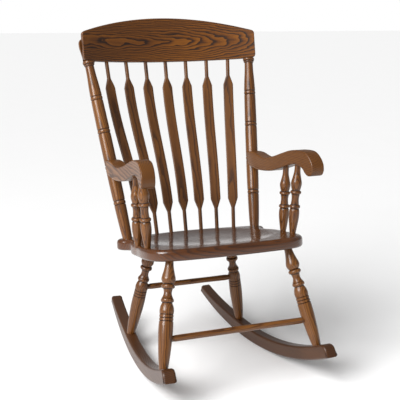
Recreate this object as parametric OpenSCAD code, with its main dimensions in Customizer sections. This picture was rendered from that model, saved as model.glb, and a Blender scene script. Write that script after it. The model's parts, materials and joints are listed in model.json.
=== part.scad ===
// Rocking chair in stained oak, built from separate turned, sawn and bent pieces.
// Z = 0 is the floor and the rockers touch it along Y = 0. The chair faces -Y.
// Left and right are as seen by someone standing in front of the chair.

/* [Seat] */
// Width of the seat across its front corners
seat_w = 554; // [500:1:620]
// Depth of the seat from the front edge to the back edge
seat_d = 470; // [420:1:520]
// Thickness of the seat plank
seat_t = 37; // [32:1:45]
// Height of the seat's front edge above the floor
seat_h = 473; // [430:1:500]
// Backward slope of the seat in degrees
seat_tilt = 7.3; // [3:0.1:10]
// Depth of the hollow sawn into the seat
scoop = 7; // [3:0.5:11]

/* [Base] */
// Distance from the middle of the leg feet back to the resting line
sit_back = 113.5; // [80:0.5:140]
// Distance between front and rear feet along the rockers
foot_span = 499; // [440:1:550]
// Distance between the two front feet
front_track = 535; // [480:1:600]
// Distance between the two rear feet
rear_track = 430; // [370:1:480]
// Largest diameter of the turned legs
leg_d = 46; // [40:1:54]
// Diameter of a leg where it enters the seat
leg_top_d = 25; // [20:1:30]
// Diameter of a leg where it enters its rocker
foot_d = 28; // [22:1:31]
// Diameter of the front stretcher at its middle
front_stretcher_d = 21; // [18:1:26]
// Diameter of the rear stretcher at its middle
rear_stretcher_d = 20; // [16:1:24]
// Diameter of both stretchers at their ends
stretcher_end_d = 18.5; // [12:0.5:20]

/* [Rockers] */
// Radius of the curve that rolls on the floor
rocker_r = 1040; // [900:10:1250]
// Height of the rocker board
rocker_h = 46; // [40:1:54]
// Height of the rocker board at its rear tip
rocker_tail_h = 27; // [20:1:34]
// Width of the rocker board
rocker_w = 41; // [37:1:50]
// Reach of the rocker in front of the resting line
rocker_front = 453; // [425:1:480]
// Reach of the rocker behind the resting line
rocker_rear = 415; // [370:1:460]

/* [Back] */
// Backward lean of the back posts in degrees
post_lean = 19.4; // [14:0.1:23]
// Length of a back post from the seat to the top of its collar
post_len = 636; // [540:1:700]
// Length of a back post above its collar
post_top_len = 83; // [70:1:95]
// Largest diameter of the back posts
post_d = 44; // [38:1:50]
// Diameter of a back post where it enters the seat
post_foot_d = 33; // [28:1:36]
// Distance between the back posts at the seat
post_track = 484; // [430:1:520]
// Distance between the back posts at the collars
post_top_track = 618; // [560:1:660]
// Width of a flat slat
slat_w = 36; // [30:1:42]
// Thickness of a flat slat
slat_t = 11; // [8:0.5:13]
// Diameter of the round neck at each end of a slat
neck_d = 13.5; // [11:0.5:15]
// Forward and backward sway of the slats
slat_bend = 12; // [6:1:16]
// Distance between two slats at the seat
slat_pitch = 58; // [50:0.5:60]
// Distance between two slats at the crest rail
slat_top_pitch = 78.5; // [70:0.5:82]

/* [Crest rail] */
// Chord of the bent crest rail from end to end
crest_w = 660; // [610:1:690]
// Height of the crest rail at its ends
crest_end_h = 101; // [85:1:110]
// Rise of the crest rail's top edge above its ends
crest_rise = 59; // [40:1:80]
// Thickness of the crest rail
crest_t = 22; // [20:0.5:26]
// How far the bend takes the middle of the crest rail behind its ends
crest_sag = 78; // [50:1:90]
// Backward lean of the crest rail in degrees
crest_lean = 10; // [7:0.5:13]

/* [Arms] */
// Length of an arm in front of the back post
arm_len = 457; // [410:1:500]
// Width of an arm
arm_w = 46; // [46:1:56]
// Height of the middle of the arm's rear end above the floor
arm_h = 663; // [620:1:690]
// Outward sweep of the arm's front end
arm_flare = 20; // [0:1:35]
// Largest diameter of the turned arm posts
arm_post_d = 37; // [32:1:42]
// Diameter of an arm post where it enters the seat
arm_post_foot_d = 20; // [16:1:24]
// Diameter of an arm post where it enters the arm
arm_post_top_d = 20; // [14:1:22]

/* [Joinery] */
// Gap all round a glued tenon in its socket
fit_gap = 0.1; // [0.05:0.05:0.3]
// Gap left past the end of a tenon
end_gap = 1; // [0.5:0.5:2]
// Depth of the sockets in the seat
seat_socket = 25; // [18:1:27]
// Depth of the sockets for the legs in the rockers
rocker_socket = 24; // [18:1:28]
// Depth of the slat sockets in the crest rail
crest_socket = 24; // [16:1:30]
// Depth of the stretcher sockets in the legs
stretcher_socket = 16; // [10:1:18]
// Depth of the post sockets in the arms
arm_socket = 20; // [14:1:24]
// Diameter of the screw shanks
screw_d = 4.5; // [3.5:0.5:5.5]
// Diameter of the screw heads
screw_head_d = 8.5; // [7.5:0.5:9]
// Diameter of the wooden plugs over the screw heads
plug_d = 10; // [9.5:0.5:12]

/* [Hidden] */
$fn = 64;
slat_count = 7;
oak = "#8f5a30";
oak_dark = "#5a3722";
oak_light = "#a56c38";
steel = "#b9b9b4";

// ---- Reference points -------------------------------------------------

// The front feet, the rear feet and the seat's front edge, measured from the resting line
front_foot_y = -sit_back - foot_span/2;
rear_foot_y = -sit_back + foot_span/2;
seat_front_y = -sit_back - 201;

// A point on the seat: x across, y back from the front edge, z above the top face
function seat_point(x, y, z = 0) = [
    x,
    seat_front_y + y*cos(seat_tilt) + z*sin(seat_tilt),
    seat_h - y*sin(seat_tilt) + z*cos(seat_tilt)];

// Half the distance between the rockers at a given y
function rocker_x(y) = front_track/2
    + (rear_track - front_track)/2*(y - front_foot_y)/foot_span;
rocker_turn = atan((front_track - rear_track)/2/foot_span);

// A point on the rocker's arc, at an angle behind the resting line
function rocker_arc(a, r) = [r*sin(a), rocker_r - r*cos(a)];
function rocker_top_z(y) = rocker_r
    - sqrt(pow(rocker_r - rocker_h, 2) - pow(y/cos(rocker_turn), 2));

// Legs run from the seat's underside to the top of the rockers
leg_seat_front = [seat_w/2 - 70, 61];
leg_seat_rear = [post_track/2 - 92, seat_d - 63];
function leg_top(side, at) = seat_point(side*at.x, at.y, -seat_t);
function leg_foot(side, y) = [side*rocker_x(y), y, rocker_top_z(y)];

// Back posts lean back and spread; s runs up the post from the top of the seat
post_seat_y = seat_d - 84;
post_spread = asin((post_top_track - post_track)/2/post_len);
function post_base(side) = seat_point(side*post_track/2, post_seat_y);
function post_dir(side) = [
    side*sin(post_spread),
    cos(post_spread)*sin(post_lean),
    cos(post_spread)*cos(post_lean)];
function on_post(side, s) = post_base(side) + s*post_dir(side);

// The crest rail is bent round a leaning axis and its ends stand over the collars
crest_front_r = pow(crest_w/2, 2)/(2*crest_sag) + crest_sag/2;
function bend(x, r) = crest_sag - crest_front_r + sqrt(r*r - x*x);
crest_origin = on_post(1, post_len) - [post_top_track/2, 0, 0]
    - (bend(post_top_track/2, crest_front_r) + crest_t*0.55)
      *[0, cos(crest_lean), -sin(crest_lean)];
function crest_point(x, v, w) = crest_origin + [
    x,
    v*cos(crest_lean) + w*sin(crest_lean),
    -v*sin(crest_lean) + w*cos(crest_lean)];

// Slats stand on an arc through the back posts and meet the middle of the crest rail
slat_arc_r = 468;
slat_arc_y = seat_d - 16;
function slat_base(i) = let(x = (i - 3)*slat_pitch)
    seat_point(x, slat_arc_y - slat_arc_r + sqrt(pow(slat_arc_r, 2) - x*x));
function slat_top(i) = let(x = (i - 3)*slat_top_pitch)
    crest_point(x, bend(x, crest_front_r + crest_t/2), 0);
function slat_turn(i) = -asin((i - 3)*slat_top_pitch/crest_front_r)*0.9;
function sway(u) = -slat_bend*sin(360*u);
shoulder_low = 76;
shoulder_high = 62;
shoulder_len = 34;

// The arm's middle line bows outwards towards the front
arm_s = (arm_h - post_base(1).z)/post_dir(1).z;
arm_root = on_post(1, arm_s);
function arm_x(f) = arm_root.x + arm_flare*pow(max(f, 0)/arm_len, 3);
function arm_point(side, f, h) = [side*arm_x(f), arm_root.y - f, arm_root.z + h];

// Arm posts rise from the seat's edge to the underside of the arm
arm_post_seat = [[seat_w/2 - 19, 119], [seat_w/2 - 12.5, 201]];
arm_post_arm = [[arm_len - 110, 30], [arm_len - 186, 9]];
function arm_post_base(side, k) = seat_point(
    side*arm_post_seat[k].x, arm_post_seat[k].y);
function arm_post_top(side, k) = arm_point(side, arm_post_arm[k].x, arm_post_arm[k].y)
    - [side*4, 0, 0];

// Places along each leg where the stretchers enter, as a share of its length
front_stretcher_at = 0.735;
rear_stretcher_at = 0.47;
function leg_at(side, at, y, u) = leg_top(side, at)*(1 - u) + leg_foot(side, y)*u;

// ---- Helpers ----------------------------------------------------------

// Children stand along +Z from p towards q
module stand(p, q) {
    d = q - p;
    translate(p)
        rotate([-atan2(d.y, d.z), 0, 0])
            rotate([0, asin(d.x/norm(d)), 0])
                children();
}

// A point at each place along an open smooth curve through the given points
function blend(a, b, c, d, t) = 0.5*(2*b + (c - a)*t
    + (2*a - 5*b + 4*c - d)*t*t + (3*b - a - 3*c + d)*t*t*t);
function curve(p, n) = [for (i = [0:len(p) - 2], j = [0:n - 1])
    blend(p[max(i - 1, 0)], p[i], p[i + 1], p[min(i + 2, len(p) - 1)], j/n)];
function loop_curve(p, n) = let(m = len(p)) [for (i = [0:m - 1], j = [0:n - 1])
    blend(p[(i + m - 1) % m], p[i], p[(i + 1) % m], p[(i + 2) % m], j/n)];

// A rounded ring on a turning, from height a to b, swelling from radius r to top_r
function bead(a, b, r, top_r) = [for (t = [0:20:180])
    [r + (top_r - r)*sin(t), (a + b)/2 - (b - a)/2*cos(t)]];
function groove(a, r, depth) = [[r, a - 1.6], [r - depth, a], [r, a + 1.6]];

// A plug of the given diameter sunk from z = 0 down, with its glue gap
module socket(d, depth) {
    translate([0, 0, -depth])
        cylinder(d = d + 2*fit_gap, h = depth + 12);
}

// ---- Seat -------------------------------------------------------------

// Half of the seat's edge from the middle of the front to the middle of the back.
// The front lobe follows the seat's width and the rear lobe follows the back post.
function seat_half() = let(w = seat_w/2, d = seat_d, px = post_track/2, py = post_seat_y) [
    [0, 0], [0.40*w, 4], [0.69*w, 13], [0.87*w, 33], [0.97*w, 72], [w, 0.27*d],
    [0.99*w, 0.40*d], [0.5*(w + px + 25), 0.54*d], [px + 12, py - 84], [px + 7, py - 56],
    [px + 15, py - 35], [px + 30, py - 16], [px + 36, py + 5], [px + 29, py + 26],
    [px + 10, py + 40], [px - 20, py + 45], [0.42*px, d - 9]];
function seat_outline() = let(half = seat_half(), m = len(half)) loop_curve(concat(
    half, [[0, seat_d]], [for (i = [m - 1:-1:1]) [-half[i].x, half[i].y]]), 4);

module seat_plank() {
    translate([0, 0, -seat_t])
        linear_extrude(height = seat_t)
            polygon(seat_outline());
}

// A shallow bowl that reaches hollow_r out from the middle of the seat
hollow_r = 196;
module seat_hollow() {
    bowl_r = (pow(hollow_r, 2) + pow(scoop, 2))/(2*scoop);
    translate([0, 0.5*seat_d, bowl_r - scoop])
        sphere(r = bowl_r, $fn = 360);
}

module seat() {
    color(oak)
    difference() {
        translate([0, seat_front_y, seat_h])
            rotate([-seat_tilt, 0, 0])
                difference() {
                    seat_plank();
                    seat_hollow();
                }
        for (side = [-1, 1]) {
            stand(leg_top(side, leg_seat_front), leg_foot(side, front_foot_y))
                socket(leg_top_d, seat_socket);
            stand(leg_top(side, leg_seat_rear), leg_foot(side, rear_foot_y))
                socket(leg_top_d, seat_socket);
            stand(post_base(side), on_post(side, 100))
                socket(post_foot_d, seat_socket);
            for (k = [0, 1])
                stand(arm_post_base(side, k), arm_post_top(side, k))
                    socket(arm_post_foot_d, seat_socket);
        }
        for (i = [0:slat_count - 1])
            low_neck(i)
                socket(neck_d, seat_socket);
    }
}

// ---- Turned legs ------------------------------------------------------

// Radii from the seat down, for a leg of length l and largest radius r
function leg_profile(l, r) = concat(
    curve([[leg_top_d/2, 0], [0.62*r, 0.06*l], [0.76*r, 0.107*l],
           [0.98*r, 0.172*l], [0.86*r, 0.205*l], [0.70*r, 0.222*l]], 4),
    bead(0.226*l, 0.265*l, 0.68*r, 0.92*r),
    curve([[0.64*r, 0.268*l], [0.55*r, 0.30*l], [0.62*r, 0.33*l], [0.78*r, 0.352*l]], 4),
    bead(0.356*l, 0.392*l, 0.72*r, 0.90*r),
    curve([[0.69*r, 0.396*l], [0.90*r, 0.43*l], [0.99*r, 0.466*l], [0.96*r, 0.49*l]], 4),
    groove(0.502*l, 0.96*r, 1.8),
    groove(0.532*l, 0.96*r, 1.8),
    groove(0.562*l, 0.97*r, 1.8),
    curve([[0.98*r, 0.572*l], [r, 0.62*l], [0.98*r, 0.70*l], [0.87*r, 0.83*l],
           [0.74*r, 0.93*l], [foot_d/2, l]], 5));

module leg(side, at, foot_y, u) {
    top = leg_top(side, at);
    foot = leg_foot(side, foot_y);
    l = norm(top - foot);
    top_tenon = seat_socket - end_gap;
    foot_tenon = rocker_socket - end_gap;
    color(oak)
    difference() {
        stand(top, foot)
            rotate_extrude()
                polygon(concat(
                    [[0, -top_tenon], [leg_top_d/2, -top_tenon]],
                    leg_profile(l, leg_d/2),
                    [[foot_d/2, l + foot_tenon], [0, l + foot_tenon]]));
        stand(leg_at(side, at, foot_y, u), leg_at(-side, at, foot_y, u))
            translate([0, 0, leg_d/2 - stretcher_socket])
                cylinder(d = stretcher_end_d + 2*fit_gap, h = leg_d);
    }
}

module leg_front_left() leg(-1, leg_seat_front, front_foot_y, front_stretcher_at);
module leg_front_right() leg(1, leg_seat_front, front_foot_y, front_stretcher_at);
module leg_rear_left() leg(-1, leg_seat_rear, rear_foot_y, rear_stretcher_at);
module leg_rear_right() leg(1, leg_seat_rear, rear_foot_y, rear_stretcher_at);

// ---- Stretchers -------------------------------------------------------

// A round bar between a pair of legs, a little thicker in the middle
module stretcher(p, d) {
    h = abs(p.x) - leg_d/2 + stretcher_socket - end_gap;
    e = stretcher_end_d/2;
    half = curve([[e, h - stretcher_socket - 4], [e + 1, h - stretcher_socket - 18],
                  [d/2 - 0.3, h*0.45], [d/2, 0]], 6);
    color(oak)
    translate([0, p.y, p.z])
        rotate([0, 90, 0])
            rotate_extrude()
                polygon(concat(
                    [[0, h], [e, h]], half,
                    [for (i = [len(half) - 1:-1:0]) [half[i].x, -half[i].y]],
                    [[e, -h], [0, -h]]));
}

module front_stretcher() stretcher(
    leg_at(1, leg_seat_front, front_foot_y, front_stretcher_at), front_stretcher_d);
module rear_stretcher() stretcher(
    leg_at(1, leg_seat_rear, rear_foot_y, rear_stretcher_at), rear_stretcher_d);

// ---- Rockers ----------------------------------------------------------

front_reach = asin(rocker_front/rocker_r);
rear_reach = asin(rocker_rear/rocker_r);
nose_r = 24;
taper_from = asin((rear_foot_y + 30)/rocker_r);

// Height of the board at an angle behind the resting line
function board_h(a) = a < taper_from ? rocker_h
    : rocker_h - (rocker_h - rocker_tail_h)
        *pow((a - taper_from)/(rear_reach - taper_from), 1.4);
function above_arc(a, h) = rocker_arc(a, rocker_r - h);
function degrees_along(s) = s/rocker_r*180/PI;

// The board seen from its side: along the floor side to the rear tip, back along the top,
// and round the front end
function rocker_outline() = concat(
    [for (i = [0:48]) above_arc(-front_reach + (front_reach + rear_reach)*i/48, 0)],
    [for (i = [0:42]) let(a = rear_reach - (rear_reach + front_reach
        - degrees_along(nose_r))*i/42) above_arc(a, board_h(a))],
    [for (t = [75:-15:0]) above_arc(
        -front_reach + degrees_along(nose_r*(1 - cos(t))),
        rocker_h - nose_r + nose_r*sin(t))]);

module rocker(side) {
    color(oak)
    difference() {
        translate([side*rocker_x(0), 0, 0])
            rotate([90, 0, 90 + side*rocker_turn])
                linear_extrude(height = rocker_w, center = true)
                    polygon(rocker_outline());
        stand(leg_foot(side, front_foot_y), leg_top(side, leg_seat_front))
            socket(foot_d, rocker_socket);
        stand(leg_foot(side, rear_foot_y), leg_top(side, leg_seat_rear))
            socket(foot_d, rocker_socket);
    }
}

module rocker_left() rocker(-1);
module rocker_right() rocker(1);

// ---- Back posts -------------------------------------------------------

// Two grooves with a low bead between them, as cut round a back post
function post_ring(s, r) = concat(
    [[r, s - 9], [r - 1.8, s - 6.5]],
    bead(s - 6, s + 6, r - 1.6, r + 0.6),
    [[r - 1.8, s + 6.5], [r, s + 9]]);

// Radii from the seat up, for largest radius r; the rings sit about a fifth of
// the length apart
function post_profile(l, r) = concat(
    curve([[post_foot_d/2, 0], [0.84*r, 0.06*l], [0.90*r, 0.13*l], [0.93*r, 0.18*l]], 3),
    post_ring(0.2*l, 0.94*r),
    curve([[0.96*r, 0.22*l], [0.99*r, 0.29*l], [r, 0.37*l]], 3),
    post_ring(0.4*l, r),
    curve([[r, 0.43*l], [r, 0.50*l], [r, 0.57*l]], 2),
    post_ring(0.6*l, 0.99*r),
    curve([[0.99*r, 0.63*l], [0.97*r, 0.69*l], [0.95*r, 0.757*l]], 3),
    post_ring(0.788*l, 0.94*r),
    curve([[0.92*r, 0.82*l], [0.84*r, 0.87*l], [0.74*r, 0.92*l], [0.70*r, l - 19]], 4),
    bead(l - 17, l - 11, 0.74*r, 0.84*r),
    bead(l - 11, l, 0.84*r, 0.97*r));
function post_top_profile(l, r) = curve([
    [0.86*r, 0.04*l], [0.84*r, 0.18*l], [0.94*r, 0.45*l], [r, 0.68*l],
    [0.86*r, 0.88*l], [0.45*r, 0.98*l], [0, l]], 4);

// The flat on the post's front, against the crest rail's back and over its bottom edge
module lap_cut(side) {
    x = post_top_track/2 + 4;
    back_r = crest_front_r + crest_t + fit_gap;
    translate([side*x, bend(x, back_r), -fit_gap])
        rotate([0, 0, -side*asin(x/back_r)])
            translate([-60, -120, 0])
                cube([120, 120, 200]);
}

module back_post(side) {
    r = post_d/2;
    tenon = seat_socket - end_gap;
    color(oak_light)
    difference() {
        stand(post_base(side), on_post(side, post_len))
            rotate_extrude()
                polygon(concat(
                    [[0, -tenon], [post_foot_d/2, -tenon]],
                    post_profile(post_len, r),
                    [for (p = post_top_profile(post_top_len, r)) [p.x, p.y + post_len]],
                    [[0, post_len + post_top_len]]));
        crest_place()
            lap_cut(side);
        crest_screw_place(side)
            screw_hole(crest_screw_len);
        arm_screw_place(side)
            screw_hole(arm_screw_len);
    }
}

module back_post_left() back_post(-1);
module back_post_right() back_post(1);

// ---- Slats ------------------------------------------------------------

function slat_len(i) = norm(slat_top(i) - slat_base(i));

module slat_place(i) {
    stand(slat_base(i), slat_top(i))
        rotate([0, 0, slat_turn(i)])
            children();
}

// Places at the slat's two round necks, with +Z towards the middle of the slat
module low_neck(i) {
    l = slat_len(i);
    slat_place(i)
        stand([0, 0, 0], [0, sway(shoulder_low/l), shoulder_low])
            children();
}
module high_neck(i) {
    l = slat_len(i);
    slat_place(i)
        stand([0, 0, l], [0, sway(1 - shoulder_high/l), l - shoulder_high])
            children();
}

// A round neck that fades into the flat blade
module neck(tenon, length) {
    translate([0, 0, -tenon])
        cylinder(d = neck_d, h = tenon + length);
    translate([0, 0, length])
        cylinder(d1 = neck_d, d2 = slat_t*0.6, h = 24);
}

module blade(l) {
    low = shoulder_low - 3;
    high = l - shoulder_high + 3;
    steps = 24;
    line = [for (k = [0:steps]) let(z = low + (high - low)*k/steps) [sway(z/l), z]];
    intersection() {
        rotate([90, 0, 90])
            linear_extrude(height = slat_w + 10, center = true)
                polygon(concat(
                    [for (p = line) p + [slat_t/2, 0]],
                    [for (k = [steps:-1:0]) line[k] - [slat_t/2, 0]]));
        rotate([90, 0, 0])
            linear_extrude(height = 4*slat_bend + 4*slat_t, center = true)
                polygon([
                    [-neck_d/2, low], [neck_d/2, low],
                    [slat_w/2, low + shoulder_len], [slat_w/2, high - shoulder_len],
                    [neck_d/2, high], [-neck_d/2, high],
                    [-slat_w/2, high - shoulder_len], [-slat_w/2, low + shoulder_len]]);
    }
}

module slat(i) {
    color(oak_dark) {
        slat_place(i)
            blade(slat_len(i));
        low_neck(i)
            neck(seat_socket - end_gap, shoulder_low);
        high_neck(i)
            neck(crest_socket - end_gap, shoulder_high);
    }
}

// ---- Crest rail -------------------------------------------------------

module crest_place() {
    translate(crest_origin)
        rotate([-crest_lean, 0, 0])
            children();
}

crest_corner_r = 14;
crest_arch_r = (pow(crest_w/2, 2) + pow(crest_rise, 2))/(2*crest_rise);

// The crest rail seen square on, with an arched top and rounded corners
function crest_outline() = let(
    c = crest_corner_r, x = crest_w/2 - c,
    arch_z = crest_end_h + crest_rise - crest_arch_r,
    corner_z = arch_z + sqrt(pow(crest_arch_r - c, 2) - x*x),
    turn = asin(x/(crest_arch_r - c)),
    right = concat(
        [for (a = [-90:15:0]) [x + c*cos(a), c + c*sin(a)]],
        [for (a = [0:13:90 - turn]) [x + c*cos(a), corner_z + c*sin(a)]],
        [for (k = [12:-1:1]) let(a = turn*k/12)
            [crest_arch_r*sin(a), arch_z + crest_arch_r*cos(a)]]))
    concat(right, [[0, crest_end_h + crest_rise]],
        [for (i = [len(right) - 1:-1:0]) [-right[i].x, right[i].y]]);

module crest_rail() {
    color(oak_dark)
    difference() {
        crest_place()
            intersection() {
                translate([0, crest_sag - crest_front_r, -1])
                    difference() {
                        cylinder(r = crest_front_r + crest_t, h = 300, $fn = 360);
                        translate([0, 0, -1])
                            cylinder(r = crest_front_r, h = 302, $fn = 360);
                    }
                translate([0, 40, 0])
                    rotate([90, 0, 0])
                        linear_extrude(height = 240, center = true)
                            polygon(crest_outline());
            }
        for (i = [0:slat_count - 1])
            high_neck(i)
                socket(neck_d, crest_socket);
        for (side = [-1, 1])
            crest_screw_place(side)
                screw_hole(crest_screw_len);
    }
}

// ---- Arms -------------------------------------------------------------

// The arm's side view: [forward of the back post, above the middle of the rear end]
arm_shape = [
    [457, 23], [449, 8], [431, 3], [415, 10], [399, 23], [378, 29], [353, 31],
    [313, 22], [259, 3], [189, -17], [98, -28], [41, -25], [13, -23], [7, -12], [1, 10],
    [-3, 25], [30, 29], [66, 29], [109, 23], [145, 23], [208, 38], [270, 58], [324, 74],
    [377, 81], [413, 79], [439, 63], [454, 43]];

// The arm seen from above, with its outward sweep
function arm_plan() = let(n = 12, f = [for (k = [0:n]) -10 + (arm_len + 20)*k/n]) concat(
    [for (k = [0:n]) [arm_x(f[k]) - arm_w/2, arm_root.y - f[k]]],
    [for (k = [n:-1:0]) [arm_x(f[k]) + arm_w/2, arm_root.y - f[k]]]);

module arm(side) {
    side_view = loop_curve([for (p = arm_shape)
        [arm_root.y - p.x*arm_len/457, arm_root.z + p.y]], 4);
    color(oak)
    difference() {
        intersection() {
            rotate([90, 0, 90])
                linear_extrude(height = 1000, center = true)
                    polygon(side_view);
            mirror([side < 0 ? 1 : 0, 0, 0])
                linear_extrude(height = 1000)
                    polygon(arm_plan());
        }
        stand(on_post(side, 0), on_post(side, post_len))
            cylinder(d = post_d + 2*fit_gap + 1.2, h = post_len);
        for (k = [0, 1])
            stand(arm_post_top(side, k), arm_post_base(side, k))
                socket(arm_post_top_d, arm_socket);
        arm_screw_place(side)
            screw_hole(arm_screw_len);
    }
}

module arm_left() arm(-1);
module arm_right() arm(1);

// ---- Arm posts --------------------------------------------------------

// Radii from the seat up, for a post of length l and largest radius r
function arm_post_profile(l, r) = concat(
    curve([[arm_post_foot_d/2, 0], [0.74*r, 0.11*l], [0.93*r, 0.24*l],
           [0.91*r, 0.33*l], [0.76*r, 0.362*l]], 4),
    bead(0.366*l, 0.415*l, 0.76*r, r),
    curve([[0.74*r, 0.42*l], [0.66*r, 0.50*l], [0.75*r, 0.565*l]], 4),
    bead(0.572*l, 0.62*l, 0.76*r, r),
    curve([[0.76*r, 0.626*l], [0.99*r, 0.72*l], [0.80*r, 0.80*l], [0.58*r, 0.89*l],
           [arm_post_top_d/2, l]], 5));

module arm_post(side, k) {
    base = arm_post_base(side, k);
    top = arm_post_top(side, k);
    l = norm(top - base);
    low = seat_socket - end_gap;
    high = arm_socket - end_gap;
    color(oak_light)
    stand(base, top)
        rotate_extrude()
            polygon(concat(
                [[0, -low], [arm_post_foot_d/2, -low]],
                arm_post_profile(l, arm_post_d/2),
                [[arm_post_top_d/2, l + high], [0, l + high]]));
}

module arm_post_front_left() arm_post(-1, 0);
module arm_post_front_right() arm_post(1, 0);
module arm_post_rear_left() arm_post(-1, 1);
module arm_post_rear_right() arm_post(1, 1);

// ---- Screws and plugs -------------------------------------------------

arm_screw_len = 64;
crest_screw_len = 26;
screw_head_h = 3.5;
plug_sink = 12;

// Heads lie this far behind the middle of the back post, with +Z forwards into the joint
module arm_screw_place(side) {
    p = on_post(side, arm_s) + [0, plug_sink, 0];
    stand(p, p - [0, 1, 0])
        children();
}
module crest_screw_place(side) {
    back = [0, cos(crest_lean), -sin(crest_lean)];
    p = on_post(side, post_len + 0.55*post_top_len) + plug_sink*back;
    stand(p, p - back)
        children();
}

module screw(l, grow = 0) {
    cylinder(d1 = screw_head_d + 2*grow, d2 = screw_d + 2*grow, h = screw_head_h);
    cylinder(d = screw_d + 2*grow, h = l - 5);
    translate([0, 0, l - 5])
        cylinder(d1 = screw_d + 2*grow, d2 = 0.8 + 2*grow, h = 5 + grow);
}

module screw_hole(l) {
    screw(l, fit_gap);
    translate([0, 0, -40])
        cylinder(d = plug_d, h = 40);
}

// A plug with a domed end, flush with the bottom of its hole
module plug() {
    r = plug_d/2 - fit_gap;
    out = post_d/2 - plug_sink;
    mirror([0, 0, 1])
        rotate_extrude()
            polygon(concat([[0, 0], [r, 0]],
                [for (a = [0:15:75]) [r*cos(a), out + 2.5*sin(a)]],
                [[0, out + 2.5]]));
}

module arm_screws() {
    color(steel)
    for (side = [-1, 1])
        arm_screw_place(side)
            screw(arm_screw_len);
}

module crest_screws() {
    color(steel)
    for (side = [-1, 1])
        crest_screw_place(side)
            screw(crest_screw_len);
}

module screw_plugs() {
    color(oak_light)
    for (side = [-1, 1]) {
        arm_screw_place(side)
            plug();
        crest_screw_place(side)
            plug();
    }
}

// ---- Assembly ---------------------------------------------------------

seat();
crest_rail();
back_post_left();
back_post_right();
slat(0);  // slat_1
slat(1);  // slat_2
slat(2);  // slat_3
slat(3);  // slat_4
slat(4);  // slat_5
slat(5);  // slat_6
slat(6);  // slat_7
arm_left();
arm_right();
arm_post_front_left();
arm_post_front_right();
arm_post_rear_left();
arm_post_rear_right();
leg_front_left();
leg_front_right();
leg_rear_left();
leg_rear_right();
front_stretcher();
rear_stretcher();
rocker_left();
rocker_right();
arm_screws();
crest_screws();
screw_plugs();
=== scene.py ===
import json
import math

import bmesh
import bpy
from mathutils import Matrix, Vector

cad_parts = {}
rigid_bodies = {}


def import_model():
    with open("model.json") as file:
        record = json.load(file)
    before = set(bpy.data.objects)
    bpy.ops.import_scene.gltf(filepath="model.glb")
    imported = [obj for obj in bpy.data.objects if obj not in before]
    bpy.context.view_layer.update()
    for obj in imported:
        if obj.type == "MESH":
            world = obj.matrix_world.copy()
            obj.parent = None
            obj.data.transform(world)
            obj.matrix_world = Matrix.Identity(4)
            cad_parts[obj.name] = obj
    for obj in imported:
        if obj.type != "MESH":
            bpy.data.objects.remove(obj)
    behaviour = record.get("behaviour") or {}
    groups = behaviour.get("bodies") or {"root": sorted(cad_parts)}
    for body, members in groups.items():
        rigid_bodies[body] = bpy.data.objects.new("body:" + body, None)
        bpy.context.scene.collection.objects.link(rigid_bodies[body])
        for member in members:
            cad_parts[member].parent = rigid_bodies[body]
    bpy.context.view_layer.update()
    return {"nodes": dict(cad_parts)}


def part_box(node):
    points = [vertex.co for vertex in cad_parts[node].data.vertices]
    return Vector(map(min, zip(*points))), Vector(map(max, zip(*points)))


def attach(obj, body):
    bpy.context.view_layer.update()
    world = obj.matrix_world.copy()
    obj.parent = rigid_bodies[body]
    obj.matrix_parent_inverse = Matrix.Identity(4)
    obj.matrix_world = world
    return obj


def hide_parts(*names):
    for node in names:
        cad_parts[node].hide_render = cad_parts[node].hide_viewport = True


for thing in list(bpy.data.objects):
    bpy.data.objects.remove(thing)
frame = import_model()
scene = bpy.context.scene
print("frame loaded:", len(frame["nodes"]), "pieces")

# Sizes are in metres and angles in degrees. The floor is z = 0 and the chair faces -y.
# Side -1 is the left of someone standing in front of the chair, and 1 is the right.

seatPlank = {
    "width": .554, "depth": .470, "thick": .037,
    "frontY": -.3145, "frontHeight": .473, "tilt": 7.3,
    "topRound": .013, "lowRound": .009,
    "hollow": .007, "hollowMiddle": .245, "hollowReach": (.222, .205),
    "ridgeWidth": .034, "ridgeEnd": .215,
}

base = {
    "feetY": -.1135, "footSpan": .499, "frontTrack": .535, "rearTrack": .430,
    "frontLegAt": (.207, .061), "rearLegAt": (.150, .407),   # across and back on the seat
    "frontStretcherAt": .735, "rearStretcherAt": .47,        # share of a leg's length
}

rockerBoard = {
    "radius": 1.040, "height": .046, "tailHeight": .027, "width": .041,
    "frontReach": .453, "rearReach": .415, "nose": .024,
    "edgeRound": .0065, "quirk": .0009, "quirkSlope": .0002,
    "taperAfterLeg": .030, "taperPower": 1.4,
}

backFrame = {
    "lean": 19.4, "track": .484, "topTrack": .618, "length": .636, "topLength": .083,
    "seatBack": .386,
}

crestRail = {
    "chord": .660, "endHeight": .101, "rise": .059, "thick": .022, "sag": .078,
    "lean": 10, "cornerRound": .014, "edgeRound": .0045,
    "postAt": .55,   # share of the thickness at which the posts' middle lines pass
}

backSlats = {
    "count": 7, "pitch": .058, "topPitch": .0785, "arc": .468, "arcBack": .454,
    "width": .036, "thick": .011, "neck": .0135, "sway": .012,
    "lowNeck": .073, "highNeck": .059, "shoulder": .034, "turn": .9,
    "seatTenon": .0231, "crestTenon": .0221,
}

armBoard = {
    "length": .457, "width": .046, "height": .663, "flare": .020, "edgeRound": .0045,
    # lower and upper edge from the back post to the tip: forward, above the rear end's middle
    "lower": [(.013, -.023), (.041, -.025), (.098, -.028), (.189, -.017), (.259, .003),
              (.313, .022), (.353, .031), (.378, .029), (.399, .023), (.415, .010),
              (.431, .003), (.449, .008), (.457, .023)],
    "upper": [(-.003, .025), (.030, .029), (.066, .029), (.109, .023), (.145, .023),
              (.208, .038), (.270, .058), (.324, .074), (.377, .081), (.413, .079),
              (.439, .063), (.454, .043), (.457, .023)],
}

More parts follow.
